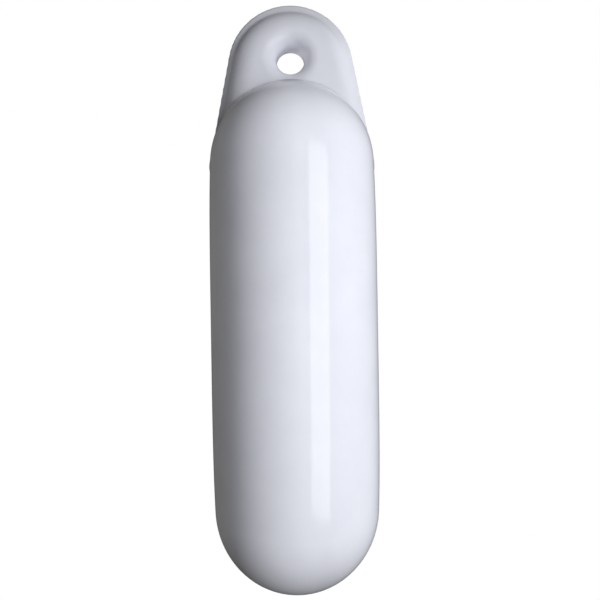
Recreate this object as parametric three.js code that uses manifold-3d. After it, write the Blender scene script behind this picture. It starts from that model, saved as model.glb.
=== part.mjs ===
// Small single-eye boat fender, rotationally moulded in glossy white vinyl as one piece: a slim
// air-filled body with domed ends, and above it a flat pad with an eye for the lanyard. The pad
// has broad rounded shoulders and stands on a thinner rim that runs round its edge.
// Millimetres, +Z up the body. The origin is the centre of the eye, and the eye runs along Y.
import * as THREE from 'three';
import { mergeVertices } from 'three/addons/utils/BufferGeometryUtils.js';
import Module from 'manifold-3d';

// Body
const overallLength = 350; // lower tip to the top of the rim
const bodyDiameter = 100; // at mid-length
const endRadius = 49; // spherical domes, a little slimmer than the body between them

// Eye
const eyeToTop = 35.2; // eye centre up to the top of the rim
const eyeToCrown = 13.5; // eye centre down to the crown of the upper dome
const eyeDiameter = 16.4; // narrowest, at the middle of the pad
const eyeLipRadius = 8.4; // rounding of the eye's lips, front and back

// Pad and rim
const tabRadius = 38; // top arc of the rim's outline
const tabLean = 11.2; // degrees that each side leans inwards
const tabFootHeight = 5; // sides meet the body this far above the dome's centre
const tabFootRadius = 12; // the rim's outline turns into the body on this radius
const padThickness = 21;
const padShoulderRadius = 17;
const padShoulderWidth = 14.4; // from the crease at the rim to the flat of the pad
const rimEdgeThickness = 1.4; // between the rim's slanted faces, at its outline
const rimCreaseThickness = 5; // where they meet the pad's shoulders
const rimEdgeRadius = 1.2; // rounding of the outline
const rimWidth = 2.6; // outline to crease, along the sides
const rimExtraAtTop = 2.7; // added to that width at the top

// Fineness of the facets
const bodySegments = 60;
const domeSteps = 12;
const barrelSteps = 10;
const tabArcSteps = 26;
const tabFootSteps = 4;
const rimEdgeSteps = 3;
const shoulderSteps = 6;
const eyeSegments = 32;
const eyeLipSteps = 6;

// Places worked out from the sizes above
const topZ = eyeToTop;
const tipZ = topZ - overallLength;
const upperDomeZ = -eyeToCrown - endRadius;
const lowerDomeZ = tipZ + endRadius;
const bodyMidZ = (upperDomeZ + lowerDomeZ) / 2;
const tabArcZ = topZ - tabRadius;
const tabFootZ = upperDomeZ + tabFootHeight;
const lean = THREE.MathUtils.degToRad(tabLean);

const wasm = await Module();
wasm.setup();

// A closed geometry as a solid that can be joined and cut
function solid(geometry) {
  const bare = geometry.clone();
  bare.deleteAttribute('normal');
  bare.deleteAttribute('uv');
  const merged = mergeVertices(bare, 1e-4);
  return new wasm.Manifold(new wasm.Mesh({
    numProp: 3,
    vertProperties: new Float32Array(merged.attributes.position.array),
    triVerts: new Uint32Array(merged.index.array),
  }));
}

// The geometry of a finished solid
function geometryOf(body) {
  const mesh = body.getMesh();
  const geometry = new THREE.BufferGeometry();
  geometry.setAttribute('position', new THREE.BufferAttribute(mesh.vertProperties, 3));
  geometry.setIndex(new THREE.BufferAttribute(mesh.triVerts, 1));
  geometry.computeVertexNormals();
  return geometry;
}

// Points along an arc, both ends included, as angles in radians
function arcPoints(centreX, centreY, radius, from, to, steps) {
  const points = [];
  for (let i = 0; i <= steps; i += 1) {
    const angle = from + (to - from) * i / steps;
    points.push(new THREE.Vector2(
      centreX + radius * Math.cos(angle),
      centreY + radius * Math.sin(angle),
    ));
  }
  return points;
}

// The air-filled body: two spherical domes and a faint barrel between them that leaves each dome
// on its tangent
function bodyGeometry() {
  const bulge = bodyDiameter / 2 - endRadius;
  const join = Math.atan(4 * bulge / ((upperDomeZ - lowerDomeZ) / 2));
  const joinRadius = endRadius * Math.cos(join);
  const half = (upperDomeZ - lowerDomeZ) / 2 + endRadius * Math.sin(join);
  const lower = arcPoints(0, lowerDomeZ, endRadius, -Math.PI / 2, -join, domeSteps);
  const upper = arcPoints(0, upperDomeZ, endRadius, join, Math.PI / 2, domeSteps);
  const barrel = [];
  for (let i = 1; i < barrelSteps; i += 1) {
    const t = -1 + 2 * i / barrelSteps;
    const radius = joinRadius + (bodyDiameter / 2 - joinRadius) * (1 - t ** 4);
    barrel.push(new THREE.Vector2(radius, bodyMidZ + t * half));
  }
  const profile = [...lower, ...barrel, ...upper];
  profile[0].x = 0;
  profile[profile.length - 1].x = 0;
  return new THREE.LatheGeometry(profile, bodySegments).rotateX(Math.PI / 2);
}

// The tab's outline in the XZ plane, drawn in by an inset and with its top arc let down by a drop:
// a round top, two leaning sides and a foot that turns into the body
function tabOutline(inset, drop) {
  const radius = tabRadius - inset;
  const arcZ = tabArcZ - drop;
  const top = arcPoints(0, arcZ, radius, lean, Math.PI - lean, tabArcSteps);
  const sideX = (tabRadius * Math.cos(lean)
    + (tabArcZ + tabRadius * Math.sin(lean) - tabFootZ) * Math.tan(lean)) - inset / Math.cos(lean);
  const footX = sideX - tabFootRadius * Math.cos(lean);
  const footZ = tabFootZ - tabFootRadius * Math.sin(lean);
  const right = arcPoints(footX, footZ, tabFootRadius, -Math.PI / 2, lean, tabFootSteps);
  const left = arcPoints(-footX, footZ, tabFootRadius, Math.PI - lean, Math.PI * 1.5, tabFootSteps);
  return [...right, ...top, ...left];
}

// The tab's section as inset, drop and height above its middle plane: round rim edge, slanted rim
// face, crease, shoulder arc, flat of the pad
function tabSection() {
  const edge = rimEdgeThickness / 2;
  const crease = rimCreaseThickness / 2;
  const pad = padThickness / 2;
  const slant = Math.atan((crease - edge) / rimWidth);
  const roundZ = edge + rimEdgeRadius * (Math.tan(slant) - 1 / Math.cos(slant));
  const section = [{ inset: 0, height: 0 }];
  for (let i = 1; i <= rimEdgeSteps; i += 1) {
    const angle = (Math.PI / 2 - slant) * i / rimEdgeSteps;
    section.push({
      inset: rimEdgeRadius * (1 - Math.cos(angle)),
      height: roundZ + rimEdgeRadius * Math.sin(angle),
    });
  }
  const start = section[section.length - 1].inset;
  const flatInset = rimWidth + padShoulderWidth;
  const steepest = Math.asin(Math.min(1, padShoulderWidth / padShoulderRadius));
  const dropAtCrease = padShoulderRadius * (1 - Math.cos(steepest));
  const fit = (pad - crease) / dropAtCrease;
  for (let i = 0; i <= shoulderSteps; i += 1) {
    const angle = steepest * (1 - i / shoulderSteps);
    const fall = padShoulderRadius * (1 - Math.cos(angle)) * fit;
    section.push({
      inset: flatInset - padShoulderRadius * Math.sin(angle),
      height: pad - fall,
    });
  }
  for (const row of section) {
    const along = (row.inset - start) / (rimWidth - start);
    row.drop = rimExtraAtTop * THREE.MathUtils.clamp(along, 0, 1);
  }
  return section;
}

// The tab: its outline repeated along the section on both faces, closed by the flat of the pad
function tabGeometry() {
  const section = tabSection();
  const back = section.slice(1).reverse().map((row) => ({ ...row, height: -row.height }));
  const rows = [...back, ...section];
  const positions = [];
  const index = [];
  let count = 0;
  for (const row of rows) {
    const outline = tabOutline(row.inset, row.drop);
    count = outline.length;
    for (const point of outline) positions.push(point.x, -row.height, point.y);
  }
  for (let r = 0; r + 1 < rows.length; r += 1) {
    for (let i = 0; i < count; i += 1) {
      const a = r * count + i;
      const b = r * count + (i + 1) % count;
      index.push(a, b, a + count, b, b + count, a + count);
    }
  }
  const last = (rows.length - 1) * count;
  const flat = tabOutline(section[section.length - 1].inset, section[section.length - 1].drop);
  for (const [a, b, c] of THREE.ShapeUtils.triangulateShape(flat, [])) {
    index.push(a, c, b);
    index.push(last + a, last + b, last + c);
  }
  const geometry = new THREE.BufferGeometry();
  geometry.setAttribute('position', new THREE.Float32BufferAttribute(positions, 3));
  geometry.setIndex(index);
  return geometry;
}

// What the eye takes out of the pad: a spool along Y, narrow in the middle and flared by the lips
function eyeGeometry() {
  const throat = eyeDiameter / 2;
  const pad = padThickness / 2;
  const lip = Math.min(eyeLipRadius, pad);
  const past = 1;
  const front = arcPoints(throat + lip, pad - lip, lip, Math.PI, Math.PI / 2, eyeLipSteps);
  const flare = [...front, new THREE.Vector2(throat + lip, pad + past)];
  const mirrored = flare.map((point) => new THREE.Vector2(point.x, -point.y)).reverse();
  const profile = [new THREE.Vector2(0, -pad - past), ...mirrored, ...flare,
    new THREE.Vector2(0, pad + past)];
  return new THREE.LatheGeometry(profile, eyeSegments);
}

const body = solid(bodyGeometry());
const tab = solid(tabGeometry()).subtract(solid(eyeGeometry()).subtract(body));

const vinyl = new THREE.MeshStandardMaterial({ color: 0xe9e9ef, roughness: 0.18, metalness: 0 });
const fender = new THREE.Mesh(geometryOf(body.add(tab)), vinyl);
fender.name = 'fender';

const part = new THREE.Group();
part.add(fender);

export default part;
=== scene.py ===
import math

import bpy
from mathutils import Matrix, Vector


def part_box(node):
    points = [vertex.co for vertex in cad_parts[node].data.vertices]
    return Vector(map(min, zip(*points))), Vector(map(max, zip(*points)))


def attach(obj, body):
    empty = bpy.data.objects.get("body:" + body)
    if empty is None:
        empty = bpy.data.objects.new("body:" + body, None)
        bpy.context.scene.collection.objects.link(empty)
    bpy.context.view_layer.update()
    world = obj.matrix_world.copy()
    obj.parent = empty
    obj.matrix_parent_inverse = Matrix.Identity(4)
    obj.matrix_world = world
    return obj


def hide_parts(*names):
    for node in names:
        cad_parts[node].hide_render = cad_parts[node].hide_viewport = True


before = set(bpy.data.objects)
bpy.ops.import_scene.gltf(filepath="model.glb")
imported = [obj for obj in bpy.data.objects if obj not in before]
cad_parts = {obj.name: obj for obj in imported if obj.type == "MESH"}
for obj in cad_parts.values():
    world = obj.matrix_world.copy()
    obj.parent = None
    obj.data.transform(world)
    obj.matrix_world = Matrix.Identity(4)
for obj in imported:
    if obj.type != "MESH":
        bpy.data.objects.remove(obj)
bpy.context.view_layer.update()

# The looks of a small white boat fender: its moulded skin, the glossy vinyl, and a pale studio.
# Metres, +Z up the body, origin at the centre of the eye, as in the frame.

fender_low, fender_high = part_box("fender")

# Body and pad, as the solids have them
SIZES = {
    "Body radius": fender_high.x,
    "End radius": 0.049,
    "Top": fender_high.z,
    "Tip": fender_low.z,
    "Crown": -0.0135,
    "Eye radius": 0.0082,
    "Eye lip radius": 0.0084,
    "Tab radius": 0.038,
    "Tab lean": math.radians(11.2),
    "Tab foot height": 0.005,
    "Tab foot radius": 0.012,
    "Pad thickness": 0.021,
    "Shoulder radius": 0.0170,
    "Shoulder width": 0.0144,
    "Rim edge thickness": 0.0014,
    "Rim crease thickness": 0.0050,
    "Rim edge radius": 0.0012,
    "Rim width": 0.0026,
    "Rim extra at top": 0.0027,
    "Crease radius": 0.0010,
    "Pad fillet radius": 0.0012,
    "Rim fillet radius": 0.0016,
}

# The skin's mesh: its step, the room round the fender in its volume, the distance's scale and its
# value outside, and how often its points are moved onto the surface
SKIN_PITCH = 0.0012
SKIN_MARGIN = 0.004
DENSITY_PER_METRE = -1000.0
DENSITY_OUTSIDE = -10.0
SETTLING_STEPS = 4

# The vinyl: its two whites and their shares of the mottle, the gloss of the body, what haze and
# the pad add to its roughness, and the heights between which it dulls towards the pad
VINYL_SHADE = (0.79, 0.80, 0.87, 1.0)
VINYL_LIGHT = (0.83, 0.84, 0.91, 1.0)
SHADE_BELOW = 0.35
LIGHT_ABOVE = 0.65
VINYL_IOR = 1.55
BODY_ROUGHNESS = 0.08
HAZE_ROUGHNESS = 0.05
PAD_ROUGHNESS = 0.13
DULLING_STARTS = -0.055
DULLING_ENDS = -0.03

# Its relief: orange peel and waves as shares of the bump's height
PEEL_SHARE = 0.04
WAVE_SHARE = 0.4
BUMP_STRENGTH = 0.25
BUMP_HEIGHT = 0.0002

# The camera, level with the middle of the body and close to it
CAMERA_DISTANCE = 0.318
CAMERA_HEIGHT = -0.1432
CAMERA_TURN = math.radians(0.64)
CAMERA_ROLL = math.radians(0.90)
CAMERA_LENS = 31.5
CAMERA_SENSOR = 36.0
CAMERA_CLIP_START = 0.01

# The floor, far enough down to stay out of the photo's view, and the world
FLOOR_DROP = 0.6
FLOOR_HALF_WIDTH = 8.0
SHADOW_RADIUS = 0.95
SHADOW_CORE = 0.3
CORE_WHITENESS = 0.45
WHITE = (1.0, 1.0, 1.0, 1.0)
FLOOR_PAINT = (0.8, 0.8, 0.8, 1.0)
FLOOR_DULL = (0.1, 0.1, 0.1, 1.0)
WORLD_TINT = (1.0, 0.98, 0.95, 1.0)
WORLD_STRENGTH = 0.03

# The lamps: angles in degrees, with azimuth 0 on the camera's side, and power in watts
COOL = (0.965, 0.972, 0.99)
WARM = (1.0, 0.955, 0.88)
KEY_SOFTBOX = {"azimuth": 31.6, "elevation": 0.0, "distance": 0.62, "width": 0.27, "height": 0.69,
               "power": 1.35, "colour": COOL, "rise": -0.045, "roll": -4.0, "mirrored": True}
CLOSE_TUBE = {"azimuth": 7.0, "elevation": 0.0, "distance": 0.15, "width": 0.03, "height": 0.46,
              "power": 0.176, "colour": COOL, "rise": 0.035}
FAR_DISTANCE = 1.4
FAR_SIDE = 0.25
FAR_LAMPS = {
    "far_right": {"azimuth": 50.0, "elevation": 12.0, "power": 4.2, "colour": COOL},
    "back_right": {"azimuth": 105.0, "elevation": 5.0, "power": 12.8, "colour": COOL},
    "back_left": {"azimuth": -130.0, "elevation": 5.0, "power": 10.2, "colour": WARM},
    "behind": {"azimuth": -172.0, "elevation": 10.0, "power": 9.0, "colour": WARM},
}


class Wire:
    """The output socket of a node, with the operators that add Math nodes behind it."""

    def __init__(self, tree, socket):
        self.tree = tree
        self.socket = socket

    def math(self, operation, *others):
        return self.tree.node("ShaderNodeMath", {"operation": operation}, self, *others)

    def __add__(self, other):
        return self.math("ADD", other)

    __radd__ = __add__

    def __sub__(self, other):
        return self.math("SUBTRACT", other)

    def __rsub__(self, other):
        return self.tree.node("ShaderNodeMath", {"operation": "SUBTRACT"}, other, self)

    def __mul__(self, other):
        return self.math("MULTIPLY", other)

    __rmul__ = __mul__

    def __truediv__(self, other):
        return self.math("DIVIDE", other)

    def __rtruediv__(self, other):
        return self.tree.node("ShaderNodeMath", {"operation": "DIVIDE"}, other, self)

    def __pow__(self, other):
        return self.math("POWER", other)

    def __neg__(self):
        return self * -1.0

    def __abs__(self):
        return self.math("ABSOLUTE")

    def __gt__(self, other):
        return self.math("GREATER_THAN", other)

    def at_least(self, other):
        return self.math("MAXIMUM", other)

    def at_most(self, other):
        return self.math("MINIMUM", other)

    def sine(self):
        return self.math("SINE")

    def cosine(self):
        return self.math("COSINE")

    def arctangent(self):
        return self.math("ARCTANGENT")


class Tree:
    """A node tree with one method that adds a node, sets it and fills its sockets."""

    def __init__(self, node_tree):
        self.nodes = node_tree.nodes
        self.links = node_tree.links

    def node(self, kind, settings, *values, output=0, **named):
        made = self.nodes.new(kind)
        for name, value in settings.items():
            if name == "stops":
                self.set_stops(made.color_ramp, value)
            else:
                setattr(made, name, value)
        for socket, value in zip(made.inputs, values):
            self.fill(socket, value)
        for name, value in named.items():
            self.fill(made.inputs[name.replace("_", " ")], value)
        return Wire(self, made.outputs[output]) if made.outputs else made

    def fill(self, socket, value):
        if isinstance(value, Wire):
            self.links.new(value.socket, socket)
        elif value is not None:
            socket.default_value = value

    @staticmethod
    def set_stops(ramp, stops):
        while len(ramp.elements) < len(stops):
            ramp.elements.new(1.0)
        for element, (position, colour) in zip(ramp.elements, stops):
            element.position = position
            element.color = colour


def cleared_tree(owner):
    """The node tree of a material or a world, emptied."""
    owner.use_nodes = True
    owner.node_tree.nodes.clear()
    return Tree(owner.node_tree)


def add_object(name, data):
    """A new object with the data, put into the scene."""
    made = bpy.data.objects.new(name, data)
    bpy.context.scene.collection.objects.link(made)
    return made


def coordinates(tree, place):
    """The X, Y and Z of a position."""
    parts = tree.node("ShaderNodeSeparateXYZ", {}, place)
    return [Wire(tree, socket) for socket in parts.socket.node.outputs]


def length(*parts):
    """The length of a vector given by its components."""
    total = parts[0] * parts[0]
    for part in parts[1:]:
        total = total + part * part
    return total.math("SQRT")


def joined(a, b, radius):
    """Two distances joined, with a fillet of the given radius in the corner between them."""
    corner = length((radius - a).at_least(0.0), (radius - b).at_least(0.0))
    return a.at_most(b).at_least(radius) - corner


def cut(a, b, radius):
    """What lies inside both distances, with the edge between them rounded."""
    corner = length((a + radius).at_least(0.0), (b + radius).at_least(0.0))
    return a.at_least(b).at_most(-radius) + corner


def body_distance(size, x, y, z):
    """Distance to the air-filled body: two round ends, and a faint barrel that leaves each end on
    its tangent."""
    end = size["End radius"]
    upper = size["Crown"] - end
    lower = size["Tip"] + end
    span = (upper - lower) / 2.0
    above = z - (upper + lower) / 2.0
    join = ((size["Body radius"] - end) * 4.0 / span).arctangent()
    half = span + end * join.sine()
    along = above / half
    join_radius = end * join.cosine()
    bulge = size["Body radius"] - join_radius
    across = length(x, y)
    barrel = across - (join_radius + bulge * (1.0 - along ** 4.0))
    dome = length(across, abs(above) - span) - end
    in_dome = abs(above) > half
    return barrel + (dome - barrel) * in_dome


def outline_distance(size, x, z, drop):
    """Distance to the tab's outline in its own plane: a round top on two leaning sides."""
    above = z - (size["Top"] - size["Tab radius"] - drop)
    across = abs(x)
    lean_sine = size["Tab lean"].sine()
    lean_cosine = size["Tab lean"].cosine()
    outwards = across * lean_cosine + above * lean_sine
    past_side = (above * lean_cosine - across * lean_sine).at_least(0.0)
    side = length(outwards, past_side) - size["Tab radius"]
    foot = (size["Crown"] - size["End radius"] + size["Tab foot height"]
            - size["Tab foot radius"] * (lean_sine + 1.0))
    return cut(side, foot - z, size["Tab foot radius"])


def rim_distance(size, x, y, z):
    """Distance to the rim: two slanted faces that thicken from a round edge towards the pad, over
    a width that grows towards the top."""
    edge = size["Rim edge thickness"] / 2.0
    crease = size["Rim crease thickness"] / 2.0
    outline = outline_distance(size, x, z, 0.0)
    lowered = outline_distance(size, x, z, size["Rim extra at top"])
    width = size["Rim width"] + lowered - outline
    slope = (crease - edge) / width
    half = (edge - outline * slope).at_most(crease)
    faces = (abs(y) - half) / length(slope, 1.0)
    return cut(outline, faces, size["Rim edge radius"])


def pad_distance(size, x, y, z):
    """Distance to the pad: flat faces that fall away to the rim on broad round shoulders."""
    outline = outline_distance(size, x, z, size["Rim extra at top"])
    shoulder = size["Shoulder radius"]
    flat_edge = size["Rim width"] + size["Shoulder width"]
    centre_depth = shoulder - size["Pad thickness"] / 2.0
    return length((outline + flat_edge).at_least(0.0), abs(y) + centre_depth) - shoulder


def fender_distance(size, x, y, z):
    """Distance to the whole fender: the tab, pierced by the eye, run into the body."""
    body = body_distance(size, x, y, z)
    rim = rim_distance(size, x, y, z)
    pad = pad_distance(size, x, y, z)
    outside_eye = size["Eye radius"] - length(x, z)
    lip = size["Eye lip radius"]
    pierced_pad = cut(pad, outside_eye, lip)
    pierced_tab = cut(joined(rim, pad, size["Crease radius"]), outside_eye, lip)
    pad_on_body = joined(body, pierced_pad, size["Pad fillet radius"])
    tab_on_body = joined(body, pierced_tab, size["Rim fillet radius"])
    return pad_on_body.at_most(tab_on_body)


def skin_tree():
    """Geometry Nodes that fill a volume with the distance to the fender and draw its surface."""
    group = bpy.data.node_groups.new("fender_skin", "GeometryNodeTree")
    group.interface.new_socket("Geometry", in_out="OUTPUT", socket_type="NodeSocketGeometry")
    for name in SIZES:
        group.interface.new_socket(name, in_out="INPUT", socket_type="NodeSocketFloat")
    tree = Tree(group)
    entry = group.nodes.new("NodeGroupInput")
    size = {name: Wire(tree, entry.outputs[name]) for name in SIZES}

    place = tree.node("GeometryNodeInputPosition", {})
    x, y, z = coordinates(tree, place)
    distance = fender_distance(size, x, y, z)

    margin = Vector((SKIN_MARGIN,) * 3)
    low = fender_low - margin
    high = fender_high + margin
    steps = [math.ceil(extent / SKIN_PITCH) for extent in high - low]
    volume = tree.node(
        "GeometryNodeVolumeCube", {}, distance * DENSITY_PER_METRE, Background=DENSITY_OUTSIDE,
        Min=low, Max=high, Resolution_X=steps[0], Resolution_Y=steps[1], Resolution_Z=steps[2])
    skin = tree.node("GeometryNodeVolumeToMesh", {}, volume, Threshold=0.0, Adaptivity=0.0)
    for _ in range(SETTLING_STEPS):
        normal = tree.node("GeometryNodeInputNormal", {})
        step = tree.node("ShaderNodeVectorMath", {"operation": "SCALE"}, normal, Scale=-distance)
        skin = tree.node("GeometryNodeSetPosition", {}, skin, Offset=step)
    skin = tree.node("GeometryNodeSetShadeSmooth", {}, skin)
    skin = tree.node("GeometryNodeRealizeInstances", {}, skin)
    finish = tree.node("GeometryNodeSetMaterial", {}, skin, Material=vinyl_material())
    tree.node("NodeGroupOutput", {}, finish)
    return group


def make_fender():
    """The fender as a plain mesh, in place of its faceted solid."""
    source = add_object("skin_source", bpy.data.meshes.new("skin_source"))
    modifier = source.modifiers.new("skin", "NODES")
    modifier.node_group = skin_tree()
    for socket in modifier.node_group.interface.items_tree:
        if socket.in_out == "INPUT":
            modifier[socket.identifier] = SIZES[socket.name]
    depsgraph = bpy.context.evaluated_depsgraph_get()
    mesh = bpy.data.meshes.new_from_object(source.evaluated_get(depsgraph))
    mesh.name = "fender_skin"
    bpy.data.objects.remove(source)
    return add_object("fender_skin", mesh)


def vinyl_material():
    """Glossy cool-white vinyl: a faint mottle, a fine orange peel and the mould's soft waves. It is
    a little duller on the pad and the crown."""
    material = bpy.data.materials.new("white_vinyl")
    tree = cleared_tree(material)
    place = tree.node("ShaderNodeTexCoord", {}, output="Object")

    mottle = tree.node("ShaderNodeTexNoise", {}, place, Scale=28.0, Detail=4.0, Roughness=0.6)
    colour = tree.node(
        "ShaderNodeValToRGB",
        {"stops": [(SHADE_BELOW, VINYL_SHADE), (LIGHT_ABOVE, VINYL_LIGHT)]}, mottle)
    haze = tree.node("ShaderNodeTexNoise", {}, place, Scale=60.0, Detail=3.0)
    z = coordinates(tree, place)[2]
    dulling = tree.node(
        "ShaderNodeMapRange", {"interpolation_type": "SMOOTHSTEP"}, z, DULLING_STARTS,
        DULLING_ENDS, 0.0, PAD_ROUGHNESS)
    roughness = BODY_ROUGHNESS + haze * HAZE_ROUGHNESS + dulling

    peel = tree.node("ShaderNodeTexNoise", {}, place, Scale=520.0, Detail=2.0)
    waves = tree.node("ShaderNodeTexNoise", {}, place, Scale=22.0, Detail=1.0)
    height = peel * PEEL_SHARE + waves * WAVE_SHARE
    normal = tree.node(
        "ShaderNodeBump", {}, Strength=BUMP_STRENGTH, Distance=BUMP_HEIGHT, Height=height)
    shader = tree.node(
        "ShaderNodeBsdfPrincipled", {}, Base_Color=colour, Roughness=roughness, Normal=normal,
        IOR=VINYL_IOR)
    tree.node("ShaderNodeOutputMaterial", {}, shader)
    return material


def make_floor():
    """A pale floor well below the hanging fender. The camera sees its soft shadow in the middle,
    and plain white further out."""
    mesh = bpy.data.meshes.new("floor")
    height = fender_low.z - FLOOR_DROP
    signs = [(-1, -1), (1, -1), (1, 1), (-1, 1)]
    corners = [(x * FLOOR_HALF_WIDTH, y * FLOOR_HALF_WIDTH, height) for x, y in signs]
    mesh.from_pydata(corners, [], [(0, 1, 2, 3)])
    floor = add_object("floor", mesh)
    material = bpy.data.materials.new("pale_floor")
    tree = cleared_tree(material)
    place = tree.node("ShaderNodeTexCoord", {}, output="Object")
    x, y, _ = coordinates(tree, place)
    whiteness = tree.node(
        "ShaderNodeMapRange", {"interpolation_type": "SMOOTHSTEP"}, length(x, y),
        SHADOW_RADIUS * SHADOW_CORE, SHADOW_RADIUS, CORE_WHITENESS, 1.0)
    paint = tree.node("ShaderNodeBsdfDiffuse", {}, FLOOR_PAINT)
    white = tree.node("ShaderNodeEmission", {}, WHITE, 1.0)
    pale = tree.node("ShaderNodeMixShader", {}, whiteness, paint, white)
    dull = tree.node("ShaderNodeBsdfDiffuse", {}, FLOOR_DULL)
    seen = tree.node("ShaderNodeLightPath", {}, output="Is Camera Ray")
    mixed = tree.node("ShaderNodeMixShader", {}, seen, dull, pale)
    tree.node("ShaderNodeOutputMaterial", {}, mixed)
    mesh.materials.append(material)


def make_world():
    """A dim world for the light, white behind the object."""
    world = bpy.data.worlds.new("studio")
    tree = cleared_tree(world)
    seen = tree.node("ShaderNodeLightPath", {}, output="Is Camera Ray")
    dim = tree.node("ShaderNodeBackground", {}, WORLD_TINT, WORLD_STRENGTH)
    white = tree.node("ShaderNodeBackground", {}, WHITE, 1.0)
    mixed = tree.node("ShaderNodeMixShader", {}, seen, dim, white)
    tree.node("ShaderNodeOutputWorld", {}, mixed)
    bpy.context.scene.world = world


def add_lamp(name, azimuth, elevation, distance, width, height, power, colour, rise=0.0,
             roll=0.0, mirrored=False):
    """A rectangular lamp that faces the body at the camera's height, raised by rise and turned by
    roll in its own plane. The gloss shows it only if it is mirrored."""
    lamp = bpy.data.lights.new(name, "AREA")
    lamp.shape = "RECTANGLE"
    lamp.size = width
    lamp.size_y = height
    lamp.energy = power
    lamp.color = colour
    holder = add_object(name, lamp)
    around = math.radians(azimuth)
    up = math.radians(elevation)
    towards = Vector((math.sin(around) * math.cos(up), -math.cos(around) * math.cos(up),
                      math.sin(up)))
    facing = towards.to_track_quat("Z", "Y").to_matrix().to_4x4()
    middle = Vector((0.0, 0.0, CAMERA_HEIGHT + rise))
    holder.matrix_world = (Matrix.Translation(middle + towards * distance) @ facing
                           @ Matrix.Rotation(math.radians(roll), 4, "Z"))
    holder.visible_glossy = mirrored


def make_lights():
    """One tall softbox that shows as the strip on the body, a close tube in front that rounds the
    body off, and far lamps at the sides and behind."""
    add_lamp("key_softbox", **KEY_SOFTBOX)
    add_lamp("close_tube", **CLOSE_TUBE)
    for name, lamp in FAR_LAMPS.items():
        add_lamp(name, distance=FAR_DISTANCE, width=FAR_SIDE, height=FAR_SIDE, **lamp)


def make_camera():
    """The camera, straight in front, with a slight turn and roll that bring the fender to its
    place in the frame."""
    camera = bpy.data.cameras.new("camera")
    camera.lens = CAMERA_LENS
    camera.sensor_width = CAMERA_SENSOR
    camera.clip_start = CAMERA_CLIP_START
    holder = add_object("camera", camera)
    place = Vector((0.0, -CAMERA_DISTANCE, CAMERA_HEIGHT))
    upright = Matrix.Rotation(math.pi / 2.0, 4, "X")
    turn = Matrix.Rotation(-CAMERA_TURN, 4, "Z")
    roll = Matrix.Rotation(-CAMERA_ROLL, 4, "Z")
    holder.matrix_world = Matrix.Translation(place) @ turn @ upright @ roll
    bpy.context.scene.camera = holder


bpy.context.scene.view_settings.view_transform = "Standard"
fender = make_fender()
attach(fender, "root")
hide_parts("fender")
make_floor()
make_world()
make_lights()
make_camera()
